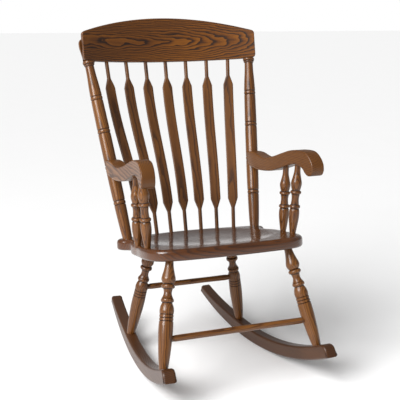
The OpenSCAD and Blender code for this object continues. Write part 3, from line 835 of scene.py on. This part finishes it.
def postProfile():
    r, foot, span = postTurning["largest"] / 2, postTurning["foot"] / 2, backFrame["length"]
    t = backFrame["topLength"]
    dome = [(.86, .04), (.84, .18), (.94, .45), (1.0, .68), (.86, .88), (.45, .98), (0, 1)]
    return (
        [(foot, -postTurning["tenon"])]
        + smooth([(foot, 0), (.84 * r, .06 * span), (.90 * r, .13 * span), (.93 * r, .18 * span)])
        + postRing(.2 * span, .94 * r)
        + smooth([(.96 * r, .22 * span), (.99 * r, .29 * span), (r, .37 * span)], 6)
        + postRing(.4 * span, r)
        + smooth([(r, .43 * span), (r, .50 * span), (r, .57 * span)], 4)
        + postRing(.6 * span, .99 * r)
        + smooth([(.99 * r, .63 * span), (.97 * r, .69 * span), (.95 * r, .757 * span)], 6)
        + postRing(.788 * span, .94 * r)
        + smooth([(.92 * r, .82 * span), (.84 * r, .87 * span), (.74 * r, .92 * span),
                  (.70 * r, span - .019)], 8)
        + bead(span - .017, span - .011, .74 * r, .84 * r, 10)
        + bead(span - .011, span, .84 * r, .97 * r, 12)
        + smooth([(a * r, span + b * t) for a, b in dome], 8))


lap = {"off": .004, "gap": .0001, "wide": .12, "deep": .12, "high": .2}

for side, node in ((-1, "back_post_left"), (1, "back_post_right")):
    x = backFrame["topTrack"] / 2 + lap["off"]
    backRadius = crestRadius + crestRail["thick"] + lap["gap"]
    corner = crestPoint(side * x, crestBend(x, backRadius), -lap["gap"])
    turnBack = -side * math.asin(x / backRadius)
    wayX = Vector((math.cos(turnBack), 0, 0)) + crestBack * math.sin(turnBack)
    wayY = crestBack * math.cos(turnBack) - Vector((math.sin(turnBack), 0, 0))
    block = bmesh.new()
    bmesh.ops.create_cube(block, size=1)
    for v in block.verts:
        a = v.co.x * lap["wide"]
        b = (v.co.y - .5) * lap["deep"]
        c = (v.co.z + .5) * lap["high"]
        v.co = corner + wayX * a + wayY * b + crestUp * c
    bmesh.ops.recalc_face_normals(block, faces=block.faces)
    blockMesh = bpy.data.meshes.new("lapBlock")
    block.to_mesh(blockMesh)
    block.free()
    cutter = newPiece("lapBlock", blockMesh)
    turnedPiece("backPostLeft" if side < 0 else "backPostRight", node,
                onPost(side, 0), onPost(side, backFrame["length"]), postProfile(),
                shifts[0 if side < 0 else 3], cutter=cutter)
    bpy.data.objects.remove(cutter)
print("back posts turned")


# Slats: one Geometry Nodes tree bends a rod into a flat arrow-shaped slat

def makeSlatTree():
    tree, start, end = newTree("arrowSlat", {
        "Length": .6, "Width": .036, "Thickness": .011, "Neck": .0135, "Sway": .012,
        "Low Neck": .073, "High Neck": .059, "Shoulder": .034, "Low Tenon": .024,
        "High Tenon": .023, "Grain Shift": (0.0, 0.0, 0.0), "Wood": None})
    size = start.outputs

    def m(*values):
        return calc(tree, *values)

    rod = addNode(tree, "GeometryNodeMeshCylinder", {
        "Vertices": 48, "Side Segments": 300, "Radius": 1.0, "Depth": 1.0}).outputs["Mesh"]
    at = addNode(tree, "ShaderNodeSeparateXYZ", {
        0: addNode(tree, "GeometryNodeInputPosition").outputs[0]}).outputs
    whole = m("ADD", m("ADD", size["Length"], size["Low Tenon"]), size["High Tenon"])
    z = m("SUBTRACT", m("MULTIPLY", m("ADD", at[2], .5), whole), size["Low Tenon"])
    up = m("SUBTRACT", size["Length"], z)

    # 0 at the necks, 1 over the blade
    ramp = m("MINIMUM",
             m("DIVIDE", m("SUBTRACT", z, size["Low Neck"]), size["Shoulder"]),
             m("DIVIDE", m("SUBTRACT", up, size["High Neck"]), size["Shoulder"]))
    blade = m("MINIMUM", m("MAXIMUM", ramp, 0.0), 1.0)
    flat = m("SMOOTH_MIN", m("MULTIPLY", m("MAXIMUM", ramp, 0.0), 1.6), 1.0, .5)
    flat = m("MINIMUM", m("MAXIMUM", flat, 0.0), 1.0)
    halfNeck = m("MULTIPLY", size["Neck"], .5)
    halfWidth = m("MULTIPLY_ADD", blade,
                  m("SUBTRACT", m("MULTIPLY", size["Width"], .5), halfNeck), halfNeck)
    halfThick = m("MULTIPLY_ADD", flat,
                  m("SUBTRACT", m("MULTIPLY", size["Thickness"], .5), halfNeck), halfNeck)

    # the round section squares up along the shoulders
    power = m("SUBTRACT", 1.0, m("MULTIPLY", flat, .78))
    xSide = m("MULTIPLY", m("SIGN", at[0]), m("POWER", m("ABSOLUTE", at[0]), power))
    ySide = m("MULTIPLY", m("SIGN", at[1]), m("POWER", m("ABSOLUTE", at[1]), power))

    # the middle line sways forwards low down and backwards high up
    def swayAt(height):
        return m("MULTIPLY", m("SINE", m("MULTIPLY", m("DIVIDE", height, size["Length"]),
                                         2 * math.pi)), m("MULTIPLY", size["Sway"], -1.0))
    lowEnd = m("ADD", size["Low Neck"], .003)
    highEnd = m("ADD", size["High Neck"], .003)
    middle = m("MAXIMUM", m("MINIMUM", z, m("SUBTRACT", size["Length"], highEnd)), lowEnd)
    lowShare = m("MINIMUM", m("DIVIDE", z, lowEnd), 1.0)
    highShare = m("MINIMUM", m("DIVIDE", up, highEnd), 1.0)
    sway = m("MULTIPLY", swayAt(middle), m("MINIMUM", lowShare, highShare))

    x = m("MULTIPLY", xSide, halfWidth)
    y = m("MULTIPLY", ySide, halfThick)
    placed = addNode(tree, "ShaderNodeCombineXYZ", {0: x, 1: m("ADD", y, sway), 2: z}).outputs[0]
    own = addNode(tree, "ShaderNodeVectorMath", {
        0: addNode(tree, "ShaderNodeCombineXYZ", {0: x, 1: y, 2: z}).outputs[0],
        1: size["Grain Shift"]}, operation="ADD").outputs[0]
    marked = addNode(tree, "GeometryNodeStoreNamedAttribute", {
        "Geometry": rod, "Name": "grain", "Value": own}, data_type="FLOAT_VECTOR", domain="POINT")
    shaped = addNode(tree, "GeometryNodeSetPosition", {
        "Geometry": marked.outputs[0], "Position": placed})
    real = addNode(tree, "GeometryNodeRealizeInstances", {"Geometry": shaped.outputs[0]})
    done = addNode(tree, "GeometryNodeSetMaterial", {
        "Geometry": real.outputs[0], "Material": size["Wood"]})
    tree.links.new(done.outputs[0], end.inputs["Geometry"])
    return tree


slatTree = makeSlatTree()
for i in range(backSlats["count"]):
    off = i - (backSlats["count"] - 1) / 2
    low = off * backSlats["pitch"]
    foot = seatPoint(low, backSlats["arcBack"] - backSlats["arc"]
                     + math.sqrt(backSlats["arc"] ** 2 - low * low))
    high = off * backSlats["topPitch"]
    top = crestPoint(high, crestBend(high, crestRadius + crestRail["thick"] / 2), 0)
    turn = -math.asin(high / crestRadius) * backSlats["turn"]
    piece = newPiece(f"slat{i + 1}", bpy.data.meshes.new(f"slat{i + 1}"))
    runTree(piece, slatTree, {
        "Length": (top - foot).length, "Width": backSlats["width"],
        "Thickness": backSlats["thick"], "Neck": backSlats["neck"], "Sway": backSlats["sway"],
        "Low Neck": backSlats["lowNeck"], "High Neck": backSlats["highNeck"],
        "Shoulder": backSlats["shoulder"], "Low Tenon": backSlats["seatTenon"],
        "High Tenon": backSlats["crestTenon"],
        "Grain Shift": (.004 * ((i * 5) % 7 - 3), .003 * ((i * 3) % 5 - 2), .37 * i),
        "Wood": oak["oak_slat"]})
    piece.data.transform(rodMatrix(foot, top) @ Matrix.Rotation(turn, 4, "Z"))
    finishPiece(piece, f"slat_{i + 1}", oak["oak_slat"], smoothBelow=50)
print("slats bent")


# Plugs over the screw heads, one on each of four points

plugCap = {"radius": .0049, "sunk": .010, "dome": .0022, "postRadius": .022, "crestAt": .55}


def makePlugTree():
    tree, start, end = newTree("plugCaps", {
        "Radius": .0049, "Sunk": .010, "Dome": .0022, "Wood": None})
    size = start.outputs
    ball = addNode(tree, "GeometryNodeMeshUVSphere", {
        "Segments": 40, "Rings": 24, "Radius": 1.0}).outputs["Mesh"]
    at = addNode(tree, "ShaderNodeSeparateXYZ", {
        0: addNode(tree, "GeometryNodeInputPosition").outputs[0]}).outputs
    # the upper half is a low dome, and the lower half is drawn out to a straight pin
    above = calc(tree, "GREATER_THAN", at[2], -.001)
    flatDown = calc(tree, "MULTIPLY", calc(tree, "MAXIMUM", calc(
        tree, "MULTIPLY", at[2], 6.0), -1.0), size["Sunk"])
    z = addNode(tree, "ShaderNodeMix", {
        0: above, 2: flatDown, 3: calc(tree, "MULTIPLY", at[2], size["Dome"])}).outputs[0]
    reach = calc(tree, "SQRT", calc(tree, "MULTIPLY_ADD", at[0], at[0], calc(
        tree, "MULTIPLY", at[1], at[1])))
    pull = calc(tree, "DIVIDE", calc(tree, "MINIMUM", calc(tree, "MULTIPLY", reach, 1.02), 1.0),
                calc(tree, "MAXIMUM", reach, .001))
    wide = calc(tree, "MULTIPLY", size["Radius"], pull)
    shaped = addNode(tree, "GeometryNodeSetPosition", {
        "Geometry": ball, "Position": addNode(tree, "ShaderNodeCombineXYZ", {
            0: calc(tree, "MULTIPLY", at[0], wide), 1: calc(tree, "MULTIPLY", at[1], wide),
            2: z}).outputs[0]})
    # end grain is turned sideways, so that the plug's grain runs across its face
    spin = addNode(tree, "ShaderNodeSeparateXYZ", {
        0: addNode(tree, "GeometryNodeInputPosition").outputs[0]}).outputs
    marked = addNode(tree, "GeometryNodeStoreNamedAttribute", {
        "Geometry": shaped.outputs[0], "Name": "grain",
        "Value": addNode(tree, "ShaderNodeCombineXYZ", {
            0: spin[0], 1: spin[2], 2: spin[1]}).outputs[0]},
        data_type="FLOAT_VECTOR", domain="POINT")
    facing = addNode(tree, "GeometryNodeInputNamedAttribute", {"Name": "facing"},
                     data_type="FLOAT_VECTOR").outputs["Attribute"]
    turned = addNode(tree, "FunctionNodeAlignRotationToVector", {"Vector": facing}, axis="Z")
    spread = addNode(tree, "GeometryNodeInstanceOnPoints", {
        "Points": size["Geometry"], "Instance": marked.outputs[0],
        "Rotation": turned.outputs[0]})
    real = addNode(tree, "GeometryNodeRealizeInstances", {"Geometry": spread.outputs[0]})
    done = addNode(tree, "GeometryNodeSetMaterial", {
        "Geometry": real.outputs[0], "Material": size["Wood"]})
    tree.links.new(done.outputs[0], end.inputs["Geometry"])
    return tree


plugPoints, plugWays = [], []
for side in (-1, 1):
    plugPoints.append(onPost(side, armLine) + Vector((0, plugCap["postRadius"], 0)))
    plugWays.append(Vector((0, 1, 0)))
    middle = onPost(side, backFrame["length"] + plugCap["crestAt"] * backFrame["topLength"])
    plugPoints.append(middle + plugCap["postRadius"] * crestBack)
    plugWays.append(crestBack)
plugMesh = bpy.data.meshes.new("screwPlugs")
plugMesh.from_pydata(plugPoints, [], [])
plugMesh.attributes.new("facing", "FLOAT_VECTOR", "POINT").data.foreach_set(
    "vector", [x for way in plugWays for x in way])
plugPiece = newPiece("screwPlugs", plugMesh)
runTree(plugPiece, makePlugTree(), {
    "Radius": plugCap["radius"], "Sunk": plugCap["sunk"], "Dome": plugCap["dome"],
    "Wood": oak["oak_plug"]})
finishPiece(plugPiece, "screw_plugs", oak["oak_plug"])


# Screws stay as the solids they are, in brushed steel

def steelMaterial():
    material, tree, shader = newMaterial("screw_steel")
    place = addNode(tree, "ShaderNodeTexCoord").outputs["Object"]
    mapped = addNode(tree, "ShaderNodeMapping", {"Vector": place, "Scale": (900, 120, 900)})
    brushed = addNode(tree, "ShaderNodeTexNoise", {
        "Vector": mapped.outputs[0], "Scale": 1.0, "Detail": 3.0}).outputs["Fac"]
    tint = addNode(tree, "ShaderNodeMix", {
        0: brushed, 6: (.42, .41, .38, 1), 7: (.66, .65, .60, 1)}, data_type="RGBA")
    tree.links.new(tint.outputs[2], shader.inputs["Base Color"])
    rough = addNode(tree, "ShaderNodeMapRange", {
        "Value": brushed, "To Min": .24, "To Max": .46}).outputs[0]
    tree.links.new(rough, shader.inputs["Roughness"])
    bump = addNode(tree, "ShaderNodeBump", {"Height": brushed, "Distance": .0001, "Strength": .3})
    tree.links.new(bump.outputs[0], shader.inputs["Normal"])
    shader.inputs["Metallic"].default_value = 1.0
    return material


steel = steelMaterial()
for node in ("arm_screws", "crest_screws"):
    thing = frame["nodes"][node]
    thing.data.materials.clear()
    thing.data.materials.append(steel)
print("screws and plugs made")


# Floor, light and camera

studio = {
    "floorSize": 120, "floorColour": (.95, .95, .95), "sky": .27,
    "sunStrength": 3.5, "sunFrom": (-3.5, -1.4, 3.3), "sunSoftness": 46,
    "keyPower": 60, "keyPlace": (-2.9, -1.5, 2.0), "keySize": 1.4,
}
camera = {
    "azimuth": -22.0, "elevation": 11.773, "distance": 2.92247, "lens": 79.47,
    "target": (-.0458, -.1135, .5799),
}


def makeFloor():
    half = studio["floorSize"] / 2
    mesh = bpy.data.meshes.new("studioFloor")
    mesh.from_pydata([(-half, -half, 0), (half, -half, 0), (half, half, 0), (-half, half, 0)],
                     [], [(0, 1, 2, 3)])
    floor = newPiece("studioFloor", mesh)
    material, tree, shader = newMaterial("studioFloor")
    place = addNode(tree, "ShaderNodeTexCoord").outputs["Object"]
    cloud = addNode(tree, "ShaderNodeTexNoise", {"Vector": place, "Scale": 3.0, "Detail": 2.0})
    pale = studio["floorColour"]
    tint = addNode(tree, "ShaderNodeMix", {
        0: cloud.outputs["Fac"], 6: (*pale, 1), 7: (*[c * .985 for c in pale], 1)},
        data_type="RGBA")
    tree.links.new(tint.outputs[2], shader.inputs["Base Color"])
    shader.inputs["Roughness"].default_value = .9
    shader.inputs["Specular IOR Level"].default_value = .1
    mesh.materials.append(material)


def makeLight(name, power, place, size, aim):
    light = bpy.data.lights.new(name, "AREA")
    light.energy, light.size = power, size
    thing = bpy.data.objects.new(name, light)
    thing.location = place
    thing.rotation_euler = (Vector(aim) - Vector(place)).to_track_quat("-Z", "Y").to_euler()
    scene.collection.objects.link(thing)


makeFloor()
makeLight("keyLight", studio["keyPower"], studio["keyPlace"], studio["keySize"], (0, 0, .6))
sun = bpy.data.lights.new("sun", "SUN")
sun.energy, sun.angle = studio["sunStrength"], math.radians(studio["sunSoftness"])
sunThing = bpy.data.objects.new("sun", sun)
sunThing.rotation_euler = Vector(studio["sunFrom"]).to_track_quat("Z", "Y").to_euler()
scene.collection.objects.link(sunThing)

world = bpy.data.worlds.new("studioAir")
scene.world = world
world.use_nodes = True
air = world.node_tree
air.nodes.clear()
seen = addNode(air, "ShaderNodeLightPath").outputs["Is Camera Ray"]
dim = addNode(air, "ShaderNodeBackground", {"Color": (1, 1, 1, 1), "Strength": studio["sky"]})
white = addNode(air, "ShaderNodeBackground", {"Color": (1, 1, 1, 1), "Strength": 1.0})
both = addNode(air, "ShaderNodeMixShader", {0: seen, 1: dim.outputs[0], 2: white.outputs[0]})
addNode(air, "ShaderNodeOutputWorld", {0: both.outputs[0]})
scene.view_settings.view_transform = "Standard"

azimuth, elevation = math.radians(camera["azimuth"]), math.radians(camera["elevation"])
away = Vector((math.sin(azimuth) * math.cos(elevation), -math.cos(azimuth) * math.cos(elevation),
               math.sin(elevation)))
lens = bpy.data.cameras.new("camera")
lens.lens, lens.sensor_width = camera["lens"], 36
lens.clip_end = 400
eye = bpy.data.objects.new("camera", lens)
eye.location = Vector(camera["target"]) + away * camera["distance"]
eye.rotation_euler = away.to_track_quat("Z", "Y").to_euler()
scene.collection.objects.link(eye)
scene.camera = eye

print("scene ready")
